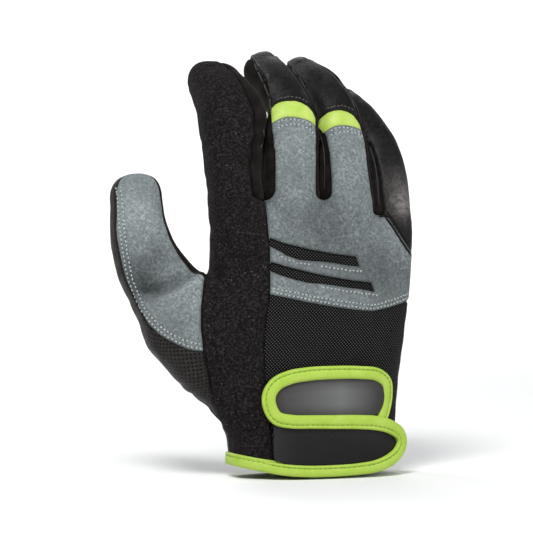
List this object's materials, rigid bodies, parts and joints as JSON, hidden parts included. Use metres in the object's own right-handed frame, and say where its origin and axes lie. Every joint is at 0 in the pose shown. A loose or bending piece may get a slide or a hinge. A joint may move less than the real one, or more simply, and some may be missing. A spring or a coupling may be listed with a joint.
{
  "type": "longboard slide glove",
  "caption": "Right-hand slide glove in its worn shape: soft panelled shell with curled fingers, bound wrist closure, and a thick round-cornered slide puck on the palm.",
  "frame": {"origin": "middle of the wrist opening, in the plane where the hand goes in", "axes": "+Z from the wrist to the fingertips, +Y out of the palm, +X towards the little finger"},
  "size_m": [0.1553, 0.0769, 0.2153],
  "materials": {
    "palm_leather": "perforated, satin",
    "smooth_leather": "smooth, satin",
    "pad_leather": "fine grain, satin",
    "fleece": "short brushed nap",
    "suede": "suede nap",
    "mesh": "knitted mesh",
    "lime_band": "fine grain",
    "lime_binding": "smooth elastic binding",
    "reflective": "satin reflective film",
    "tab_rubber": "satin",
    "puck_plastic": "worn satin",
    "hook_pad": "hook and loop pile"
  },
  "bodies": {
    "root": {"palm_panel": "palm_leather", "index_back_panel": "fleece", "knuckle_panel": "suede", "back_mesh_panel": "mesh", "vent_mesh_upper": "mesh", "vent_mesh_lower": "mesh", "pinky_back_panel": "smooth_leather", "middle_knuckle_band": "lime_band", "ring_knuckle_band": "lime_band", "middle_tip_back": "smooth_leather", "ring_tip_back": "smooth_leather", "fourchette_index_middle": "smooth_leather", "fourchette_middle_ring": "smooth_leather", "fourchette_ring_pinky": "smooth_leather", "index_pad": "pad_leather", "middle_pad": "pad_leather", "ring_pad": "pad_leather", "pinky_pad": "pad_leather", "thumb_back_panel": "suede", "thumb_inner_strip": "smooth_leather", "thumb_inner_panel": "suede", "thumb_palm": "palm_leather", "hem_binding": "lime_binding", "strap_binding": "lime_binding", "closure_tab": "reflective", "wrist_tab": "tab_rubber", "puck": "puck_plastic", "puck_backing": "hook_pad"}
  },
  "joints": []
}
